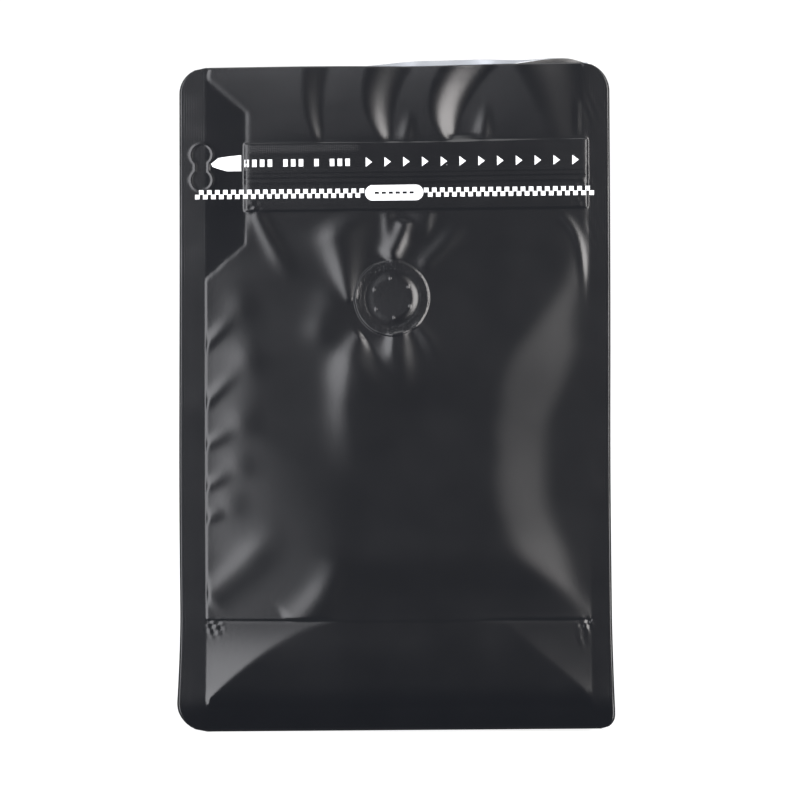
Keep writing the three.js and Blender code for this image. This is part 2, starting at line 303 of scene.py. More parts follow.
class Swell:
    """A round swell of the film, by the middle of its lit side, half width and tilt."""

    def __init__(self, faces, middle, width, tilt):
        self.middle = (middle[0] - faces * CREST * width, middle[1])
        self.width = width
        self.tilt = tilt

    def height(self, x, z):
        far = np.hypot(x - self.middle[0], z - self.middle[1]) / self.width
        return math.tan(math.radians(self.tilt)) * self.width / STEEPEST * np.exp(-far * far)


class Flame:
    """A lit fold of the header that narrows to a tip at the band.

    The film steps back across it, and comes forward again slowly over the header's width. The
    line is given by its x at the band, half way up and at the top. The step's half widths and its
    tilts, in degrees, are those at the band and at the top.
    """

    def __init__(self, line, half_width, tilt):
        self.line = line
        self.half_width = half_width
        self.tilt = tilt

    def height(self, x, z, share):
        up = np.clip((z - BAND_HIGH_Z) / (BAG_HEIGHT - BAND_HIGH_Z), 0, 1)
        low, middle, high = self.line
        bend = 2 * middle - (low + high) / 2
        line = mix(mix(low, bend, up), mix(bend, high, up), up)
        half = mix(*self.half_width, up ** 0.65)
        # A smooth step is steepest in its middle: 3/4 of its height in one half width.
        drop = np.tan(np.radians(mix(*self.tilt, up))) * half * 4 / 3
        return drop * (share ** 1.45 - smooth(-half, half, x - line))


HEADER_FLAMES = [
    Flame((17.0, 16.4, 23.0), (0.8, 9.2), (19, 16)),
    Flame((-2.0, -4.4, -1.2), (0.9, 7.4), (16, 12.5)),
    Flame((-22.3, -24.4, -23.4), (0.8, 4.4), (14, 8)),
    Flame((52.5, 50.5, 47.0), (4.0, 11.5), (5, 11.5)),
]
HEADER_FOLDS = [
    Fold(RIGHT, ((5.8, 188), (5.0, 174)), (0.8, 2.2), 8, back=1.4, fade=(0.6, 0.1)),
    Fold(RIGHT, ((28.8, 190), (28.4, 174)), (0.8, 2.4), 9, back=1.4, fade=(0.6, 0.1)),
    Fold(RIGHT, ((55.9, 190), (55.9, 177)), (0.7, 0.7), 9),
]
VALVE_FOLDS = [
    Fold(RIGHT, ((5.6, 154), (3.4, 147), (-0.4, 139.5)), (2.4, 2.6), 15, back=1.3, fade=0.2),
    Fold(LEFT, ((-3.6, 158), (-3.6, 145)), (2.0, 1.4), 8, fade=(0.1, 0.6)),
    Fold(RIGHT, ((12.4, 158), (9.4, 145)), (2.4, 1.6), 9, back=2.5, fade=(0.1, 0.5)),
    Fold(RIGHT, ((8.4, 154), (6.6, 145)), (1.4, 1.4), 3, fade=0.5),
    Fold(RIGHT, ((25.0, 152.5), (8.0, 136)), (3.0, 2.4), 6, fade=(0.5, 0.2)),
    Fold(LEFT, ((-24.5, 154), (-14.0, 128.0)), (7.5, 1.0), (5, 13), back=1.5, fade=(0.3, 0.06)),
    Swell(LEFT, (-23.6, 129.0), 6.0, 3.0),
    Swell(LEFT, (-26.0, 120.5), 5.0, 3.4),
    Fold(
        LEFT, ((-10.5, 121), (-16.0, 114.0), (-21.0, 100)), (2.0, 8.4), (8.0, 7.8), back=1.3,
        fade=(0.15, 0.5),
    ),
    Fold(
        LEFT, ((-17.2, 118), (-18.6, 94), (-16.0, 70)), (5.0, 8.0), (6.5, 4.5), back=2.0,
        fade=(0.4, 0.6),
    ),
    Fold(LEFT, ((-1.6, 121), (-2.6, 110)), (1.2, 2.2), 7, fade=(0.1, 0.6)),
    Fold(RIGHT, ((3.4, 121), (4.8, 112), (7.0, 94)), (1.2, 6.0), (11, 8), back=2.2, fade=(0.1, 0.6)),
    Fold(RIGHT, ((7.0, 124), (17.5, 112)), (1.8, 3.0), 5, fade=(0.1, 0.6)),
]
FILM_FOLDS = [
    Fold(LEFT, ((-43.8, 157), (-38.0, 144), (-31.0, 133)), (1.8, 3.2), (9, 4), fade=(0.1, 0.5)),
    Fold(RIGHT, ((49.0, 156), (56.2, 147), (57.4, 126)), (1.2, 0.9), 10, fade=(0.2, 0.4)),
    Fold(LEFT, ((-60.0, 40.5), (-35.0, 65.5)), (3.0, 5.0), 4.4, back=1.3, fade=(0.1, 0.5)),
    Fold(LEFT, ((-34.0, 34.0), (-25.0, 43.0), (-17.0, 57)), (5.0, 3.6), (7, 4), fade=(0.1, 0.5)),
]
WELD_SPOTS = [
    ((-55.6, 119.5), (-48.6, 127.8)), ((-56.1, 101.7), (-46.9, 112.1)), ((-55.6, 88.4), (-48.6, 92.9)),
    ((-55.6, 76.0), (-49.7, 80.2)), ((-56.4, 65.7), (-52.2, 68.5)),
]
for spot, blob in WELD_SPOTS:
    start = (2 * spot[0] - blob[0], 2 * spot[1] - blob[1])
    FILM_FOLDS.append(Fold(LEFT, (start, blob), (0.9, 2.6), (10, 3.5), back=0.9, fade=(0.25, 0.5)))
    FILM_FOLDS.append(Swell(LEFT, (blob[0] - 1.4, blob[1]), 4.4, 2.0))


def left_shoulder(z):
    """Where the film starts to fall to the left weld, over what length it bends, and how far."""
    low = smooth(50, 66, z)
    middle = smooth(72, 92, z)
    high = smooth(112, 130, z)
    tilts = LEFT_SIDE_TILTS
    start = mix(mix(mix(-17, -13, low), -41, middle), -45, high)
    bend = mix(mix(3, 54, low), 8, middle)
    tilt = mix(mix(mix(tilts["foot"], tilts["low"], low), tilts["middle"], middle), tilts["high"], high)
    return start, bend, np.tan(np.radians(tilt))


def right_band(z):
    """The middle and half width of the band that falls to the right weld."""
    up = np.clip((z - 90) / 53, 0, 1) ** 1.3
    down = np.clip((72 - z) / 36, 0, 1) ** 1.8
    middle = RIGHT_BAND_X + RIGHT_BAND_SWING * (up + down)
    half = RIGHT_BAND_HALF + 2 * hump(z - 108, 10)
    half = half - 5 * smooth(112, 135, z) - 6.5 * smooth(56, 38, z)
    return middle, half


def soft_step(run):
    """The integral of a smooth step."""
    return np.logaddexp(0, 2 * run) / 2


def pillow(x, z):
    border = loose_from(z)
    shoulder, bend, left_tilt = left_shoulder(z)
    middle, half = right_band(z)
    edge = 3.0

    def fall(at):
        left = left_tilt * (np.hypot(np.maximum(shoulder - at, 0), bend) - bend)
        low = soft_step((at - middle + half) / edge)
        high = soft_step((at - middle - half) / edge)
        return left + math.tan(math.radians(RIGHT_BAND_TILT)) * edge * (low - high)

    share = (x - border) / (WELD_RIGHT_X - border)
    ends = mix(fall(border), fall(np.full(z.shape, WELD_RIGHT_X)), share)
    return ends - fall(x) + PILLOW * across(x, border, WELD_RIGHT_X, 2)


def arch_border(z, top, foot_z, power, most):
    """Half width of the arch that the folded bottom presses into the film."""
    down = np.clip((CREASE_Z - z) / (CREASE_Z - foot_z), 0, 1) ** power
    return np.minimum(top + (WELD_RIGHT_X - top) * down, most)


def soft_top(share, bend):
    """A ramp from 0 to 1 whose top is rounded off."""
    return share - soft_step((share - 1 + bend) / bend) * bend * (1 - np.exp(-share / bend))


def bottom_share(x, z, top_left, top_right):
    """Height of the bottom's arch, which stands proud between facets that fall to the welds."""
    left = -arch_border(z, top_left, ARCH_FOOT_LEFT_Z, 0.65, -WELD_LEFT_X - 1)
    right = arch_border(z, top_right, ARCH_FOOT_RIGHT_Z, 1.0, WELD_RIGHT_X - 2.5)
    share_left = np.clip((x - WELD_LEFT_X) / (left - WELD_LEFT_X), 0, 1)
    share_right = np.clip((WELD_RIGHT_X - x) / (WELD_RIGHT_X - right), 0, 1)
    bend = 0.04
    share = np.minimum(soft_top(share_left, bend), soft_top(share_right, bend))
    return share * smooth(BOTTOM_WELD, BOTTOM_WELD + 20, z) ** 0.7


def bottom_form(x, z):
    stand = pillow(np.clip(x, -ARCH_LEFT, ARCH_RIGHT), np.full(x.shape, float(CREASE_Z)))
    return stand * bottom_share(x, z, ARCH_LEFT, ARCH_RIGHT)


def front_form(x, z):
    """How far the front film stands out in front of the seams."""
    border = loose_from(z)
    body = 1 - smooth(*BODY_TOP_Z, z)
    header = 1 - body
    near_weld = np.minimum(x - border, WELD_RIGHT_X - x)
    out = pillow(x, z) * body + HEADER_STAND * header * smooth(0, 1.8, near_weld)
    run = np.maximum(x - border, 0)
    out += WELD_LIP * smooth(0, 0.5, run) * np.exp(-run / 3.5) * body
    below = 1 - smooth(CREASE_Z - 0.7, CREASE_Z + 0.7, z)
    out = mix(out, bottom_form(x, z), below)
    crease = smooth(14, 30, -x) + smooth(22, 34, x)
    out -= CREASE_DEPTH * hump(z - CREASE_Z, 0.5) * crease

    folds = np.zeros_like(out)
    above_band = smooth(BAND_HIGH_Z - 1, BAND_HIGH_Z + 2.6, z)
    under_band = 1 - smooth(BAND_LOW_Z - 2, BAND_LOW_Z, z)
    from_valve = np.hypot(x - VALVE_X, z - VALVE_Z)
    round_valve = smooth(VALVE_RADIUS - 2.4, VALVE_RADIUS - 0.2, from_valve)
    for fold in HEADER_FOLDS:
        folds += fold.height(x, z) * above_band
    share = np.clip((x - border) / (WELD_RIGHT_X - border), 0, 1)
    for flame in HEADER_FLAMES:
        folds += flame.height(x, z, share) * above_band
    for fold in VALVE_FOLDS:
        folds += fold.height(x, z) * under_band * round_valve
    above_crease = smooth(CREASE_Z - 0.6, CREASE_Z + 1.6, z)
    for fold in FILM_FOLDS:
        folds += fold.height(x, z) * under_band * above_crease
    inside = (x > border) & (x < WELD_RIGHT_X)
    loose = across(x, border, WELD_RIGHT_X)
    curl = SKIRT_CURL * np.maximum(BOTTOM_WELD - z, 0) ** 2
    return np.where(inside, out + folds * smooth(0, 0.06, loose), 0) - curl


def valve_marks(x, z):
    """The rim, the tilted disc and the pinholes that the valve presses into the film."""
    dx = x - VALVE_X
    dz = z - VALVE_Z
    r = np.hypot(dx, dz)
    right_side = smooth(-0.35, 0.55, (dx * 0.94 + dz * 0.34) / np.maximum(r, 0.1))
    low_left = smooth(-0.5, 0.8, (-dx * 0.72 - dz * 0.69) / np.maximum(r, 0.1))
    step = mix(0.4, 1.1, right_side)
    outer = mix(mix(RIM_LEFT, RIM_LOW_LEFT, low_left), RIM_RIGHT, right_side)
    rim = mix(RIM_INSIDE, outer, smooth(7, 10.8, r))
    out = rim * smooth(VALVE_RADIUS + 0.2, VALVE_RADIUS + 0.2 - step, r)
    disc = DISC_STAND + DISC_SLOPE * (dx + 2)
    out += np.maximum(disc, 0.02) * smooth(VALVE_CAP_RADIUS + 0.5, VALVE_CAP_RADIUS - 2.3, r)
    for i in range(PINHOLES):
        angle = math.radians(PINHOLE_FROM - 360 / PINHOLES * i)
        pin_x = dx - PINHOLE_CIRCLE * math.cos(angle)
        pin_z = dz - PINHOLE_CIRCLE * math.sin(angle)
        dot = np.interp(pin_x, PINHOLE_PROFILE, (0, 1, 0))
        out += PINHOLE_HEIGHT * dot * hump(pin_z, PINHOLE_HALF)
    return out


def tab_marks(x, z):
    """The outline of the tear tab, pressed into the wide weld."""
    lobes = [np.hypot(x - TAB_X, z - at) - TAB_RADIUS for at in TAB_LOBES_Z]
    neck = np.abs(x - TAB_X) - TAB_RADIUS * TAB_NECK
    between = (z > TAB_LOBES_Z[0]) & (z < TAB_LOBES_Z[1])
    reach = np.minimum(lobes[0], lobes[1])
    reach = np.where(between, np.minimum(reach, neck), reach)
    return TAB_RELIEF * hump(reach, TAB_LINE)


def crumple(x, z, spot, reach, height, turn):
    """A small patch of crushed film: waves in two directions that die out from the spot."""
    dx = x - spot[0]
    dz = z - spot[1]
    fade = hump(np.hypot(dx, dz), reach)
    waves = np.sin(dx * 2.6 + dz * 1.1 + turn) + np.sin(dz * 3.1 - dx * 1.7 + 2 * turn)
    return height * fade * waves


# Each has its place, its reach, its height and the turn of its waves.
CRUMPLES = [
    ((-54.6, 31.0), 1.9, 0.16, 0.4),
    ((56.8, 31.6), 1.9, 0.15, 1.3),
    ((55.6, 27.5), 1.6, 0.08, 2.4),
    ((57.0, 163.5), 2.2, 0.08, 0.9),
    ((55.6, 158.5), 1.8, 0.07, 2.0),
    ((-42.4, 157.6), 1.5, 0.12, 1.6),
    ((60.5, 186), 4.0, 0.022, 0.2),
    ((60.8, 150), 5.0, 0.016, 2.9),
]


def front_marks(x, z):
    """The raised band, the valve's ring, the tear tab's outline and crushed spots."""
    level = z - BAND_SLOPE * x
    low = smooth(BAND_LOW_Z - 0.5, BAND_LOW_Z + 0.3, level)
    high = 1 - smooth(BAND_HIGH_Z - 0.3, BAND_HIGH_Z + 0.5, level)
    side = smooth(TAB_WELD_X - 0.3, TAB_WELD_X + 0.5, x)
    side = side * (1 - smooth(WELD_RIGHT_X - 0.9, WELD_RIGHT_X - 0.1, x))
    band = BAND_RAISE * low * high * side
    for ridge in BAND_RIDGES:
        band += RIDGE_HEIGHT * hump(level - ridge, 0.42) * side
    for row in BAND_LINES:
        band += LINE_HEIGHT * hump(level - row, 0.5) * side
    out = band + valve_marks(x, z) + tab_marks(x, z)
    for spot, reach, height, turn in CRUMPLES:
        out += crumple(x, z, spot, reach, height, turn)
    return out


def front_y(x, z):
    return MID_Y - seam_depth(z) - front_form(x, z) - front_marks(x, z)


BACK_FOLDS = [
    Fold(LEFT, ((-22, 206), (-13, 164)), (7, 2), 9, back=2, fade=(0.05, 0.5)),
    Fold(RIGHT, ((6, 206), (2, 170)), (5, 1.6), 8, back=2, fade=(0.05, 0.4)),
    Fold(RIGHT, ((30, 206), (16, 158)), (7, 2), 9, back=2, fade=(0.05, 0.5)),
    Fold(RIGHT, ((57, 152), (38, 116)), (1.6, 6), 6, fade=(0.15, 0.5)),
    Fold(RIGHT, ((57, 112), (42, 92)), (1.4, 4), 5, fade=(0.15, 0.5)),
    Fold(LEFT, ((-56, 136), (-38, 108)), (1.6, 6), 6, fade=(0.15, 0.5)),
    Fold(LEFT, ((-56, 98), (-44, 86)), (1.4, 4), 5, fade=(0.15, 0.5)),
    Fold(LEFT, ((-56, 44), (-34, 74)), (2.4, 5), 5, fade=(0.15, 0.5)),
    Fold(RIGHT, ((57, 48), (34, 80)), (2.4, 5), 5, fade=(0.15, 0.5)),
    Fold(LEFT, ((-30, 35), (-18, 60)), (4, 3), 5, fade=(0.1, 0.5)),
    Fold(RIGHT, ((34, 35), (20, 66)), (4, 3), 5, fade=(0.1, 0.5)),
    Fold(LEFT, ((-6, 150), (-16, 96)), (3, 7), 4, back=1.6, fade=(0.3, 0.5)),
]


def back_form(x, z):
    """How far the back film stands out behind the seams."""
    loose = across(x, WELD_LEFT_X, WELD_RIGHT_X, 2.4)
    out = BACK_PILLOW * loose * (1 - smooth(90, 185, z))
    share = bottom_share(x, z, BACK_ARCH_LEFT, BACK_ARCH_RIGHT)
    top = np.clip(x, -BACK_ARCH_LEFT, BACK_ARCH_RIGHT)
    stand = BACK_PILLOW * across(top, WELD_LEFT_X, WELD_RIGHT_X, 2.4)
    below = 1 - smooth(CREASE_Z - 0.7, CREASE_Z + 0.7, z)
    out = mix(out, stand * share, below)
    crease = smooth(18, 34, np.abs(x))
    out -= CREASE_DEPTH * hump(z - CREASE_Z, 0.7) * crease * smooth(0, 0.1, loose)
    above_crease = smooth(CREASE_Z - 0.6, CREASE_Z + 1.6, z)
    for fold in BACK_FOLDS:
        out += fold.height(x, z) * above_crease * smooth(0, 0.1, loose)
    return out


def back_y(x, z):
    inside = (x > WELD_LEFT_X) & (x < WELD_RIGHT_X)
    return MID_Y + seam_depth(z) + np.where(inside, back_form(x, z), 0)


# The gussets' wrinkles lie in the plane of y and z.
GUSSET_FOLDS = [
    Fold(RIGHT, ((-22, 30), (-9, 66)), (1.6, 4.5), 8, fade=(0.1, 0.5)),
    Fold(LEFT, ((23, 34), (10, 74)), (1.6, 4.5), 8, fade=(0.1, 0.5)),
    Fold(LEFT, ((14, 98), (6, 128)), (1.4, 2.8), 7, fade=(0.2, 0.5)),
    Fold(RIGHT, ((-15, 104), (-6, 132)), (1.4, 2.8), 7, fade=(0.2, 0.5)),
    Fold(LEFT, ((4, 150), (8, 182)), (1.2, 2.2), 6, fade=(0.2, 0.4)),
]


def gusset_bulge(y, z, side):
    out = np.zeros(y.shape)
    for fold in GUSSET_FOLDS:
        out += fold.height(y * side, z)
    return out


def top_lift_front(x):
    """The front's top edge rises a little to the right, and dips near the middle."""
    return 0.006 * x - 0.45 * hump(x - 7.5, 20)


def top_lift_back(x):
    """The back edge stands higher than the front to the right of the middle."""
    lifted = smooth(-16, 10, x) * (1 - smooth(52, 62, x))
    waves = 0.3 * hump(x - 26, 9) - 0.1 * hump(x - 36, 8) + 0.5 * hump(x - 49, 7)
    return 1.7 * lifted + waves - 0.1


def bottom_lift(x):
    """The front's bottom edge rises a little to the right."""
    return 0.0059 * np.clip(x + 62, 0, 125)


def front_z(x, z):
    return z + top_lift_front(x) * smooth(150, 200, z) + bottom_lift(x) * (1 - smooth(0, 30, z))


def back_z(x, z):
    return z + top_lift_back(x) * smooth(150, 200, z)


def spread(low, high, count, dense):
    """Steps from low to high that lie closer together round each place in dense."""
    at = np.linspace(low, high, 2001)
    weight = np.ones(at.shape)
    for place, reach, share in dense:
        weight += share * hump(at - place, reach)
    run = np.concatenate([[0], np.cumsum((weight[1:] + weight[:-1]) / 2)])
    return np.interp(np.linspace(0, run[-1], count + 1), run, at)


# ---- Mesh helpers ----

def grid(u_cells, v_cells, windows=()):
    """A unit grid of u and v from 0 to 1, cut finer inside each window."""
    bm = bmesh.new()
    bmesh.ops.create_grid(bm, x_segments=u_cells, y_segments=v_cells, size=0.5)
    bmesh.ops.translate(bm, vec=(0.5, 0.5, 0), verts=bm.verts)
    for low, high, cuts in windows:
        inside = {
            v for v in bm.verts
            if low[0] <= v.co.x <= high[0] and low[1] <= v.co.y <= high[1]
        }
        edges = [e for e in bm.edges if e.verts[0] in inside and e.verts[1] in inside]
        bmesh.ops.subdivide_edges(bm, edges=edges, cuts=cuts, use_grid_fill=True)
    return bm


def shape(bm, place):
    """Moves every point of the grid to place(u, v), given in millimetres."""
    bm.verts.ensure_lookup_table()
    uv = np.array([v.co[:2] for v in bm.verts])
    for vert, point in zip(bm.verts, np.column_stack(place(uv[:, 0], uv[:, 1]))):
        vert.co = Vector(point) * MM


def turn_edge(bm, direction, depth):
    """Gives a sheet's rim the film's thickness."""
    rim = [e for e in bm.edges if e.is_boundary]
    made = bmesh.ops.extrude_edge_only(bm, edges=rim)["geom"]
    verts = [g for g in made if isinstance(g, bmesh.types.BMVert)]
    bmesh.ops.translate(bm, vec=Vector(direction) * depth * MM, verts=verts)


def turned(points, axis, steps):
    """A line of points turned about an axis through the origin."""
    bm = bmesh.new()
    verts = [bm.verts.new(point) for point in points]
    edges = [bm.edges.new(pair) for pair in zip(verts, verts[1:])]
    bmesh.ops.spin(
        bm, geom=verts + edges, cent=(0, 0, 0), axis=axis, angle=math.tau, steps=steps, use_merge=True,
    )
    bmesh.ops.remove_doubles(bm, verts=bm.verts, dist=0.0001)
    bmesh.ops.recalc_face_normals(bm, faces=bm.faces)
    return bm


def finish_piece(bm, name, material, flip=False, smooth_faces=True, zones=None):
    if flip:
        bmesh.ops.reverse_faces(bm, faces=bm.faces)
    for face in bm.faces:
        face.smooth = smooth_faces
    mesh = bpy.data.meshes.new(name)
    bm.to_mesh(mesh)
    bm.free()
    mesh.materials.append(material)
    if zones:
        at = np.array([v.co for v in mesh.vertices]) / MM
        for zone_name, values in zones(at[:, 0], at[:, 2]).items():
            layer = mesh.attributes.new(zone_name, "FLOAT", "POINT")
            layer.data.foreach_set("value", values.astype(np.float32))
    piece = bpy.data.objects.new(name, mesh)
    bpy.context.scene.collection.objects.link(piece)
    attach(piece, "root")
    return piece


# ---- Materials ----

def new_material(name):
    material = bpy.data.materials.new(name)
    material.use_nodes = True
    nodes = material.node_tree.nodes
    return material, nodes, material.node_tree.links, nodes["Principled BSDF"]


def calculate(tree, operation, first, second=None):
    """A Math node. An input is a number or another node's output."""
    node = tree.nodes.new("ShaderNodeMath")
    node.operation = operation
    for slot, value in enumerate((first, second)):
        if value is None:
            continue
        if isinstance(value, (int, float)):
            node.inputs[slot].default_value = value
        else:
            tree.links.new(value, node.inputs[slot])
    return node.outputs[0]


def noise(tree, vector, scale, detail=2.0):
    node = tree.nodes.new("ShaderNodeTexNoise")
    node.inputs["Scale"].default_value = scale
    node.inputs["Detail"].default_value = detail
    tree.links.new(vector, node.inputs["Vector"])
    return node.outputs["Fac"]


def blend_colors(tree, share, first, second):
    node = tree.nodes.new("ShaderNodeMix")
    node.data_type = "RGBA"
    tree.links.new(share, node.inputs["Factor"])
    for socket, value in ((node.inputs["A"], first), (node.inputs["B"], second)):
        if isinstance(value, tuple):
            socket.default_value = (*value, 1)
        else:
            tree.links.new(value, socket)
    return node.outputs["Result"]


def range_of(tree, value, low, high, out_low=0.0, out_high=1.0):
    node = tree.nodes.new("ShaderNodeMapRange")
    for name, number in (("From Min", low), ("From Max", high), ("To Min", out_low), ("To Max", out_high)):
        node.inputs[name].default_value = number
    tree.links.new(value, node.inputs["Value"])
    return node.outputs["Result"]


GRAIN_SCALE = 900.0
MOTTLE_SCALE = 60.0
SPECK_SCALE = 110.0


def grain_group():
    """Fine grain with slow mottling, and sparse specks of dust."""
    group = bpy.data.node_groups.new("fine_grain", "ShaderNodeTree")
    face = group.interface
    for name in ("Grain Scale", "Mottle Scale", "Speck Scale"):
        face.new_socket(name=name, in_out="INPUT", socket_type="NodeSocketFloat")
    for name in ("Height", "Mottle", "Specks"):
        face.new_socket(name=name, in_out="OUTPUT", socket_type="NodeSocketFloat")
    start = group.nodes.new("NodeGroupInput")
    end = group.nodes.new("NodeGroupOutput")
    place = group.nodes.new("ShaderNodeTexCoord").outputs["Object"]
    fine = group.nodes.new("ShaderNodeTexNoise")
    fine.inputs["Detail"].default_value = 3
    slow = group.nodes.new("ShaderNodeTexNoise")
    slow.inputs["Detail"].default_value = 4
    cells = group.nodes.new("ShaderNodeTexVoronoi")
    for node, socket in ((fine, "Grain Scale"), (slow, "Mottle Scale"), (cells, "Speck Scale")):
        group.links.new(place, node.inputs["Vector"])
        group.links.new(start.outputs[socket], node.inputs["Scale"])
    dot = range_of(group, cells.outputs["Distance"], 0.012, 0.024, 1.0, 0.0)
    split = group.nodes.new("ShaderNodeSeparateColor")
    group.links.new(cells.outputs["Color"], split.inputs["Color"])
    chosen = calculate(group, "GREATER_THAN", split.outputs["Red"], 0.62)
    group.links.new(fine.outputs["Fac"], end.inputs["Height"])
    group.links.new(slow.outputs["Fac"], end.inputs["Mottle"])
    group.links.new(calculate(group, "MULTIPLY", dot, chosen), end.inputs["Specks"])
    return group


GRAIN = grain_group()


def grain(tree, mottle=MOTTLE_SCALE):
    node = tree.nodes.new("ShaderNodeGroup")
    node.node_tree = GRAIN
    for name, value in (("Grain Scale", GRAIN_SCALE), ("Mottle Scale", mottle), ("Speck Scale", SPECK_SCALE)):
        node.inputs[name].default_value = value
    return node.outputs


def add_bump(tree, shader, height, depth):
    bump = tree.nodes.new("ShaderNodeBump")
    bump.inputs["Strength"].default_value = 1
    bump.inputs["Distance"].default_value = depth
    tree.links.new(height, bump.inputs["Height"])
    tree.links.new(bump.outputs["Normal"], shader.inputs["Normal"])


def zone(tree, name):
    node = tree.nodes.new("ShaderNodeAttribute")
    node.attribute_name = name
    return node.outputs["Fac"]


def cross_hatch(tree, place, pitch):
    """A diamond knurl in x and z, from -1 to 1, as the welding jaws leave it."""
    split = tree.nodes.new("ShaderNodeSeparateXYZ")
    tree.links.new(place, split.inputs["Vector"])
    turns = math.tau / (pitch * MM)
    waves = []
    for way in ("ADD", "SUBTRACT"):
        run = calculate(tree, way, split.outputs["X"], split.outputs["Z"])
        waves.append(calculate(tree, "SINE", calculate(tree, "MULTIPLY", run, turns)))
    return calculate(tree, "MULTIPLY", *waves)


PRESSED_GLOSS = 0.1
KNURL_PITCH = 1.5
DOT_PITCH = 1.25
FILM_RELIEF = 0.00004
FILM_ROUGHNESS = (0.235, 0.265)
FILM_BLACKS = ((0.0022, 0.0025, 0.0035), (0.0032, 0.0035, 0.0047))
DUST = (0.16, 0.16, 0.17)


def film_material():
    """Matte black laminate: knurled or pressed smooth where it is welded, rough round the valve."""
    material, nodes, links, shader = new_material("matte_black_film")
    tree = material.node_tree
    place = nodes.new("ShaderNodeTexCoord").outputs["Object"]
    fine = grain(tree)
    worn = range_of(tree, noise(tree, place, 45, 3), 0.46, 0.66)
    knurl = calculate(tree, "MULTIPLY", cross_hatch(tree, place, KNURL_PITCH), worn)
    knurl = calculate(tree, "MULTIPLY", knurl, zone(tree, "weld"))
    dots = calculate(tree, "MULTIPLY", cross_hatch(tree, place, DOT_PITCH), zone(tree, "dots"))
    rough = calculate(tree, "MULTIPLY", noise(tree, place, 1500, 2), zone(tree, "ring"))
    height = calculate(tree, "MULTIPLY", fine["Height"], 0.28)
    for extra, share in ((knurl, 0.42), (dots, 0.5), (rough, 2.2)):
        height = calculate(tree, "ADD", height, calculate(tree, "MULTIPLY", extra, share))
    add_bump(tree, shader, height, FILM_RELIEF)
    shade = blend_colors(tree, fine["Mottle"], *FILM_BLACKS)
    color = blend_colors(tree, fine["Specks"], shade, DUST)
    links.new(color, shader.inputs["Base Color"])
    roughness = range_of(tree, fine["Mottle"], 0.3, 0.7, *FILM_ROUGHNESS)
    pressed = calculate(tree, "MULTIPLY", zone(tree, "pressed"), PRESSED_GLOSS)
    links.new(calculate(tree, "SUBTRACT", roughness, pressed), shader.inputs["Roughness"])
    return material


def grained_material(name, dark, light, roughness, depth, metallic=0.0, mottle=MOTTLE_SCALE):
    """A finish whose colour, roughness and relief change a little over the surface."""
    material, _, links, shader = new_material(name)
    tree = material.node_tree
    fine = grain(tree, mottle)
    links.new(blend_colors(tree, fine["Mottle"], dark, light), shader.inputs["Base Color"])
    rough = range_of(tree, fine["Mottle"], 0.3, 0.7, roughness - 0.05, roughness + 0.05)
    links.new(rough, shader.inputs["Roughness"])
    shader.inputs["Metallic"].default_value = metallic
    add_bump(tree, shader, fine["Height"], depth)
    return material


# ---- Pieces ----

def front_zones(x, z):
    """Where the front is knurled or pressed smooth, dotted above the print, or rough."""
    in_left = smooth(-0.2, 0.5, x - loose_from(z))
    in_right = 1 - smooth(-0.5, 0.2, x - WELD_RIGHT_X)
    in_low = smooth(-0.2, 0.5, z - BOTTOM_WELD)
    level = z - BAND_SLOPE * x
    dotted = smooth(173.8, 174.2, level) * (1 - smooth(176.2, 176.6, level))
    r = np.hypot(x - VALVE_X, z - VALVE_Z)
    outside_cap = smooth(VALVE_CAP_RADIUS + 0.2, VALVE_CAP_RADIUS + 0.9, r)
    wide_weld = smooth(-0.2, 0.5, x - WELD_LEFT_X) * (1 - in_left) * in_low
    pressed = np.maximum(0.6 * wide_weld, 1 - smooth(5, 12, z - 3 * in_left * in_right * in_low))
    return {
        "weld": (1 - in_left * in_right * in_low) * (1 - pressed),
        "pressed": pressed,
        "dots": dotted * smooth(-45, -43, x) * (1 - smooth(-12, -9, x)),
        "ring": outside_cap * smooth(VALVE_RADIUS, VALVE_RADIUS - 0.6, r),
    }


def back_zones(x, z):
    """Where the back is knurled or pressed smooth."""
    in_side = smooth(-0.2, 0.5, x - WELD_LEFT_X) * (1 - smooth(-0.5, 0.2, x - WELD_RIGHT_X))
    in_low = smooth(-0.2, 0.5, z - BOTTOM_WELD)
    return {"weld": 1 - in_side * in_low, "pressed": 0.5 * (1 - in_low)}


def front_panel(material):
    across_cells = 196
    up_cells = 306
    xs = spread(-BAG_WIDTH / 2, BAG_WIDTH / 2, across_cells, [
        (WELD_LEFT_X, 1.5, 1.6), (WELD_RIGHT_X, 1.5, 1.6), (TAB_WELD_X, 1.5, 0.8),
    ])
    zs = spread(0, BAG_HEIGHT, up_cells, [
        (CREASE_Z, 1.2, 2.2), (BOTTOM_WELD, 2, 1.2), (BAND_LOW_Z, 1.0, 1.5), (BAND_HIGH_Z, 1.0, 1.5),
        (BAND_RIDGES[1], 2.2, 1.2),
    ])
    reach = VALVE_RADIUS + 1.2

    def uv(x, z):
        u = np.interp(x, xs, np.linspace(0, 1, across_cells + 1))
        return u, np.interp(z, zs, np.linspace(0, 1, up_cells + 1))

    windows = [
        (uv(VALVE_X - reach, VALVE_Z - reach), uv(VALVE_X + reach, VALVE_Z + reach), 3),
        (uv(TAB_X - 4.5, TAB_LOBES_Z[0] - 4.5), uv(TAB_X + 4.5, TAB_LOBES_Z[1] + 4.5), 1),
    ]
    bm = grid(across_cells, up_cells, windows)

    def place(u, v):
        x = np.interp(u * across_cells, np.arange(across_cells + 1), xs)
        z = np.interp(v * up_cells, np.arange(up_cells + 1), zs)
        return sheet_x(x, z), front_y(x, z), front_z(x, z)

    shape(bm, place)
    turn_edge(bm, (0, 1, 0), FILM)
    return finish_piece(bm, "front_panel", material, zones=front_zones)


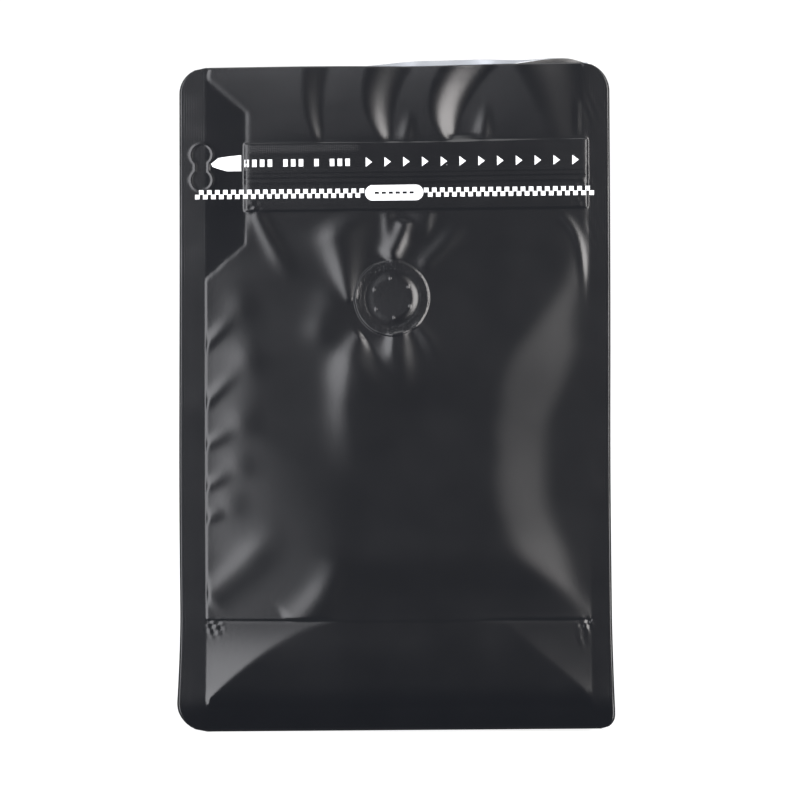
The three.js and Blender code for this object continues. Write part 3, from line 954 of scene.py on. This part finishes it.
LINING_BORDER = 0.3
LINING_CLEAR = 0.02
LINING_EDGE = 0.5
FRONT_LINING_INSET = 1.0
BACK_LINING_INSET = 0.8
GUSSET_LINING_INSET = 4 * FILM
GUSSET_FIN_SHARE = 0.24
FOLD_DIP = 0.7
FIN_GAP = 0.15
BOTTOM_BORDER = 0.4
BOTTOM_SAG = 0.6
VALVE_GAP = 0.3


def lining_place(u, v):
    x = mix(WELD_LEFT_X + LINING_BORDER, WELD_RIGHT_X - LINING_BORDER, u)
    return x, mix(BOTTOM_WELD, BAG_HEIGHT - LINING_CLEAR, v)


def lining_inset(x, z, deepest):
    """How far a lining lies inside its panel. It comes up to the film at the mouth."""
    inset = mix(deepest, FILM, smooth(RIM_FROM_Z, BAG_HEIGHT - 1, z))
    return mix(LINING_EDGE, inset, across(x, WELD_LEFT_X, WELD_RIGHT_X, 8))


def front_lining(material):
    bm = grid(100, 154)

    def place(u, v):
        x, z = lining_place(u, v)
        y = MID_Y - seam_depth(z) - front_form(x, z) + lining_inset(x, z, FRONT_LINING_INSET)
        return x, y + LINING_CLEAR, front_z(x, z)

    shape(bm, place)
    return finish_piece(bm, "front_lining", material, flip=True)


def back_panel(material):
    bm = grid(110, 160)

    def place(u, v):
        x = (u - 0.5) * BAG_WIDTH
        z = v * BAG_HEIGHT
        return sheet_x(x, z), back_y(x, z), back_z(x, z)

    shape(bm, place)
    turn_edge(bm, (0, -1, 0), FILM)
    return finish_piece(bm, "back_panel", material, flip=True, zones=back_zones)


def back_lining(material):
    bm = grid(80, 120)

    def place(u, v):
        x, z = lining_place(u, v)
        y = back_y(x, z) - lining_inset(x, z, BACK_LINING_INSET) - LINING_CLEAR
        return x, y, back_z(x, z)

    shape(bm, place)
    return finish_piece(bm, "back_lining", material)


def gusset(name, material, side, lining=False):
    """A folded side: from the front fin in to the fold and out to the back fin."""
    bm = grid(96, 180)
    root = WELD_LEFT_X if side < 0 else WELD_RIGHT_X
    fin = (SIDE_WELD_LEFT if side < 0 else SIDE_WELD_RIGHT) - FIN_GAP

    def place(u, v):
        z = v * BAG_HEIGHT
        half = seam_depth(z) - WELD_THICKNESS
        fold = fold_depth(z, WELD_THICKNESS)
        s = np.abs(2 * u - 1)
        fin_share = 0.001 if lining else GUSSET_FIN_SHARE
        t = np.clip(s / (1 - fin_share), 0, 1)
        out = np.clip((s - (1 - fin_share)) / fin_share, 0, 1)
        x_flat = root + side * (fin * out)
        y = np.sign(2 * u - 1) * half * np.where(out > 0, 1, t)
        off_seams = smooth(0, 0.15, 1 - t)
        off_fold = smooth(0, 0.2, t)
        inward = fold * (1 - t) - gusset_bulge(y, z, side) * off_seams * off_fold
        x = np.where(out > 0, sheet_x(x_flat, z), root - side * inward)
        if lining:
            x = root - side * (inward + GUSSET_LINING_INSET)
        edge_z = np.where(u < 0.5, front_z(x, z), back_z(x, z))
        fold_z = front_z(x, z) - FOLD_DIP * smooth(RIM_FROM_Z, BAG_HEIGHT, z)
        return x, MID_Y + y, mix(edge_z, fold_z, (1 - t) ** np.where(u < 0.5, 1, 3))

    shape(bm, place)
    return finish_piece(bm, name, material, flip=(side < 0) != lining)


def bottom_panel(material):
    """The bottom film, turned down all round to the skirt."""
    bm = grid(90, 50)
    skirt = BOTTOM_WELD - 0.1
    left = WELD_LEFT_X + BOTTOM_BORDER
    right = WELD_RIGHT_X - BOTTOM_BORDER
    half = seam_depth(0) - WELD_THICKNESS

    def place(u, v):
        wide_x = mix(left - skirt, right + skirt, u)
        wide_y = mix(-half - skirt, half + skirt, v)
        x = np.clip(wide_x, left, right)
        y = np.clip(wide_y, -half, half)
        down = np.maximum(np.abs(wide_x - x), np.abs(wide_y - y))
        sag = BOTTOM_SAG * across(x, left, right, 4) * across(y, -half, half, 4)
        z = BOTTOM_WELD - down - sag
        return x, MID_Y + y, mix(front_z(x, z), z, v)

    shape(bm, place)
    return finish_piece(bm, "bottom_panel", material, flip=True)


def valve_body(material):
    """The one-way valve behind the film: a flange, and a cap whose middle is sunk in two steps."""
    profile = [
        (0, 0), (VALVE_RADIUS - 0.6, 0), (VALVE_RADIUS - 0.3, 0.2), (VALVE_RADIUS - 0.3, 0.7),
        (VALVE_RADIUS - 0.6, 0.9), (VALVE_CAP_RADIUS + 0.6, 0.9), (VALVE_CAP_RADIUS, 1.3),
        (VALVE_CAP_RADIUS, VALVE_HEIGHT - 0.6), (VALVE_CAP_RADIUS - 0.6, VALVE_HEIGHT),
        (VALVE_CAP_RADIUS - 1.6, VALVE_HEIGHT), (VALVE_CAP_RADIUS - 2.0, VALVE_HEIGHT - 0.5),
        (1.6, VALVE_HEIGHT - 0.5), (1.3, VALVE_HEIGHT - 0.9), (0, VALVE_HEIGHT - 0.9),
    ]
    bm = turned([(r, depth, 0) for r, depth in profile], (0, 1, 0), 72)
    reach = VALVE_RADIUS
    at = np.array([VALVE_X, VALVE_X - reach, VALVE_X + reach, VALVE_X, VALVE_X])
    up = np.array([VALVE_Z, VALVE_Z, VALVE_Z, VALVE_Z - reach, VALVE_Z + reach])
    y = MID_Y - seam_depth(up) - front_form(at, up)
    lean = math.atan2(y[4] - y[3], 2 * reach)
    turn = math.atan2(y[2] - y[1], 2 * reach)
    matrix = (
        Matrix.Translation(Vector((VALVE_X, y.max() + FILM + VALVE_GAP, VALVE_Z)) * MM)
        @ Matrix.Rotation(turn, 4, "Z") @ Matrix.Rotation(-lean, 4, "X") @ Matrix.Scale(MM, 4)
    )
    bmesh.ops.transform(bm, matrix=matrix, verts=bm.verts)
    return finish_piece(bm, "valve_body", material)


def closure_strip(material):
    """The press-to-close strip behind the band, with its two tracks."""
    bm = grid(60, 40)

    def place(u, v):
        x = mix(STRIP_FROM_X, STRIP_TO_X, u)
        z = mix(STRIP_LOW_Z, STRIP_HIGH_Z, v)
        thick = STRIP_THICKNESS
        for track in STRIP_TRACKS:
            thick = thick + TRACK_HEIGHT * smooth(0.8, 0.55, np.abs(z - track))
        y = MID_Y - seam_depth(z) - front_form(x, z) + STRIP_GAP + FILM + thick
        return x, y, z + BAND_SLOPE * x

    shape(bm, place)
    turn_edge(bm, (0, -1, 0), STRIP_THICKNESS)
    return finish_piece(bm, "closure_strip_tracks", material, flip=True)


# ---- Print ----

PRINT_LIFT = 0.07
PRINT_GAP = 0.01
ARROWS = 12
ARROW_FROM_X = -7.6
ARROW_PITCH = 5.66
ARROW_Z = 170.9
ARROW_SIZE = (1.95, 2.9)
CHECK_FROM_X = -59.6
CHECK_TO_X = 59.6
CHECK_PITCH = 2.43
CHECK_SIZE = 1.38
CHECK_Z = 161.6
CHECK_STEP = 0.68
PILL_X = 0
PILL_SIZE = (17.6, 4.7)
PILL_CLEAR = 0.3
PILL_DASHES = 6
DASH_PITCH = 2.1
DASH_SIZE = (1.3, 0.7)
DASH_LIFT = 0.05
TICKS_FROM_X = -44.6
TICKS_TO_X = -11.8
TICK_PITCH = 2.35
TICK_SIZE = (1.35, 2.2)
TICK_GAPS = (4, 8, 10)


def lay(bm, name, material, lift=PRINT_LIFT):
    """Lays flat shapes, drawn in x and z, onto the film and gives them a thin body."""
    for vert in bm.verts:
        x = np.array([vert.co.x])
        z = np.array([vert.co.z + BAND_SLOPE * vert.co.x])
        vert.co = Vector((vert.co.x, float(front_y(x, z)[0]) - lift, float(z[0]))) * MM
    faces = list(bm.faces)
    made = bmesh.ops.extrude_face_region(bm, geom=faces)["geom"]
    verts = [g for g in made if isinstance(g, bmesh.types.BMVert)]
    bmesh.ops.translate(bm, vec=(0, (lift - PRINT_GAP) * MM, 0), verts=verts)
    bmesh.ops.recalc_face_normals(bm, faces=bm.faces)
    return finish_piece(bm, name, material, smooth_faces=False)


def add_box(bm, x, z, width, height):
    matrix = Matrix.Translation((x, 0, z)) @ Matrix.Rotation(math.pi / 2, 4, "X")
    matrix = matrix @ Matrix.Diagonal((width / 2, height / 2, 1, 1))
    bmesh.ops.create_grid(bm, x_segments=1, y_segments=1, size=1, matrix=matrix)


def print_arrows(ink):
    bm = bmesh.new()
    long, high = ARROW_SIZE
    corners = ((-long / 2, -high / 2), (long / 2, 0), (-long / 2, high / 2))
    for i in range(ARROWS):
        x = ARROW_FROM_X + i * ARROW_PITCH
        bm.faces.new([bm.verts.new((x + right, 0, ARROW_Z + up)) for right, up in corners])
    lay(bm, "print_arrows", ink)


def print_checks(ink):
    bm = bmesh.new()
    count = int((CHECK_TO_X - CHECK_FROM_X) / CHECK_PITCH)
    for i in range(2 * count + 1):
        x = CHECK_FROM_X + i * CHECK_PITCH / 2
        if abs(x - PILL_X) < PILL_SIZE[0] / 2 + PILL_CLEAR:
            continue
        z = CHECK_Z + (CHECK_STEP if i % 2 else -CHECK_STEP)
        add_box(bm, x, z, CHECK_SIZE, CHECK_SIZE)
    lay(bm, "print_checks", ink)


def print_ticks(ink):
    bm = bmesh.new()
    count = int((TICKS_TO_X - TICKS_FROM_X) / TICK_PITCH)
    for i in range(count + 1):
        if i in TICK_GAPS:
            continue
        add_box(bm, TICKS_FROM_X + i * TICK_PITCH, ARROW_Z, *TICK_SIZE)
    lay(bm, "print_ticks", ink)


def print_pill(ink, dark):
    """A white capsule over the checks, with a row of dark dashes."""
    straight = PILL_SIZE[0] / 2 - PILL_SIZE[1] / 2
    bm = bmesh.new()
    bmesh.ops.create_circle(bm, cap_ends=True, cap_tris=True, segments=32, radius=PILL_SIZE[1] / 2)
    for vert in bm.verts:
        side = math.copysign(straight, vert.co.x) if vert.co.xy.length > 0.1 else 0
        vert.co = Vector((PILL_X + vert.co.x + side, 0, CHECK_Z + vert.co.y))
    lay(bm, "print_pill", ink)
    bm = bmesh.new()
    for i in range(PILL_DASHES):
        add_box(bm, PILL_X + (i - (PILL_DASHES - 1) / 2) * DASH_PITCH, CHECK_Z, *DASH_SIZE)
    lay(bm, "print_pill_dashes", dark, PRINT_LIFT + DASH_LIFT)


def print_pointer(ink):
    """A plain pointer to the tear tab: a cuff and a blunt tip."""
    bm = bmesh.new()
    points = [
        (-46.3, 168.6), (-46.3, 173.4), (-50.5, 173.0), (-53.2, 172.6), (-55.4, 170.9),
        (-55.0, 170.0), (-52.8, 169.2), (-50.6, 168.6),
    ]
    bm.faces.new([bm.verts.new((x, 0, z)) for x, z in points])
    lay(bm, "print_pointer", ink)


# ---- Studio ----

# In metres. A softbox has its azimuth, elevation, distance, size, power and a colour, if any.
FLOOR_RADIUS = 1.9
FLOOR_CURVE = 0.9
WALL_TOP = 3.4
SOFTBOXES = [
    ("right_box", 28, 10, 1.3, (0.40, 1.3), 20, (1.0, 0.97, 0.955)),
    ("left_box", -32, 10, 1.3, (0.60, 1.3), 14.5, (0.965, 0.965, 1.0)),
    ("top_box", 0, 75, 1.6, (1.2, 1.2), 12),
    ("back_left_box", 150, 12, 1.4, (0.5, 1.2), 14),
    ("back_right_box", 212, 12, 1.4, (0.6, 1.2), 14),
    ("side_left_box", 262, 14, 1.5, (0.5, 1.1), 12),
    ("side_right_box", 98, 14, 1.5, (0.5, 1.1), 12),
]
SKY_LOW = (0.32, 0.34, 0.38)
SKY_HIGH = (0.15, 0.163, 0.19)


def facing(azimuth, elevation):
    """The way from the bag to what stands at an azimuth, 0 in front and + to the right."""
    a = math.radians(azimuth)
    e = math.radians(elevation)
    return Vector((math.sin(a) * math.cos(e), -math.cos(a) * math.cos(e), math.sin(e)))


def studio():
    """A pale round floor that curves up into a wall on all sides. The film doesn't mirror it."""
    profile = [(0, 0), (FLOOR_RADIUS, 0)]
    for step in range(1, 13):
        angle = step / 12 * math.pi / 2
        rise = FLOOR_CURVE * (1 - math.cos(angle))
        profile.append((FLOOR_RADIUS + FLOOR_CURVE * math.sin(angle), rise))
    profile.append((FLOOR_RADIUS + FLOOR_CURVE, WALL_TOP))
    bm = turned([(r, 0, z) for r, z in profile], (0, 0, 1), 64)
    for face in bm.faces:
        face.smooth = True
    mesh = bpy.data.meshes.new("studio_bowl")
    bm.to_mesh(mesh)
    bm.free()
    material, _, _, shader = new_material("studio_white")
    shader.inputs["Base Color"].default_value = (0.2, 0.2, 0.2, 1)
    shader.inputs["Roughness"].default_value = 0.35
    shader.inputs["Emission Color"].default_value = (1, 1, 1, 1)
    shader.inputs["Emission Strength"].default_value = 0.85
    mesh.materials.append(material)
    bowl = bpy.data.objects.new("studio_bowl", mesh)
    bowl.visible_glossy = False
    bpy.context.scene.collection.objects.link(bowl)


def softbox(name, azimuth, elevation, distance, size, power, color=(1, 1, 1)):
    """An area light that faces the middle of the bag. Azimuth 0 is the camera's, + to its right."""
    target = Vector((0, 0, BAG_HEIGHT / 2)) * MM
    away = facing(azimuth + CAMERA_AZIMUTH, elevation)
    light = bpy.data.lights.new(name, "AREA")
    light.shape = "RECTANGLE"
    light.size, light.size_y = size
    light.energy = power
    light.color = color
    lamp = bpy.data.objects.new(name, light)
    lamp.location = target + away * distance
    lamp.visible_camera = False
    lamp.rotation_euler = (-away).to_track_quat("-Z", "Y").to_euler()
    bpy.context.scene.collection.objects.link(lamp)


def camera():
    away = facing(CAMERA_AZIMUTH, CAMERA_ELEVATION)
    data = bpy.data.cameras.new("camera")
    data.sensor_width = SENSOR_WIDTH
    data.lens = SENSOR_WIDTH * PIXELS_PER_MM * CAMERA_METRES * 1000 / PICTURE_WIDTH
    eye = bpy.data.objects.new("camera", data)
    eye.location = Vector(CAMERA_TARGET) * MM + away * CAMERA_METRES
    look = (-away).to_track_quat("-Z", "Y").to_matrix()
    eye.rotation_euler = (look @ Matrix.Rotation(-math.radians(CAMERA_ROLL), 3, "Z")).to_euler()
    bpy.context.scene.collection.objects.link(eye)
    bpy.context.scene.camera = eye


def world():
    """A grey sky that is brighter below."""
    made = bpy.data.worlds.new("studio_air")
    made.use_nodes = True
    tree = made.node_tree
    split = tree.nodes.new("ShaderNodeSeparateXYZ")
    tree.links.new(tree.nodes.new("ShaderNodeTexCoord").outputs["Generated"], split.inputs["Vector"])
    height = range_of(tree, split.outputs["Z"], -0.6, -0.15)
    color = blend_colors(tree, height, SKY_LOW, SKY_HIGH)
    tree.links.new(color, tree.nodes["Background"].inputs["Color"])
    bpy.context.scene.world = made
    bpy.context.scene.view_settings.view_transform = "Standard"


# ---- The scene ----

camera()
world()
studio()
for box in SOFTBOXES:
    softbox(*box)

film = film_material()
foil = grained_material("silver_foil", (0.44, 0.46, 0.49), (0.55, 0.57, 0.60), 0.32, 0.00002, 0.55)
front = front_panel(film)
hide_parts("pouch")
front_lining(foil)
back_panel(film)
back_lining(foil)
for side, word in ((-1, "left"), (1, "right")):
    gusset(word + "_gusset", film, side)
    gusset(word + "_gusset_lining", foil, side, lining=True)
bottom_panel(film)

ink = grained_material("white_ink", (0.66, 0.67, 0.69), (0.80, 0.81, 0.83), 0.4, 0.00001, mottle=300)
plastic = grained_material("valve_plastic", (0.014, 0.014, 0.015), (0.022, 0.022, 0.024), 0.5, 0.00003)
valve = valve_body(plastic)
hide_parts("valve")
plastic = grained_material("strip_plastic", (0.55, 0.57, 0.59), (0.66, 0.68, 0.70), 0.35, 0.00002)
strip = closure_strip(plastic)
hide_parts("closure_strip")
print_arrows(ink)
print_checks(ink)
print_ticks(ink)
print_pill(ink, film)
print_pointer(ink)
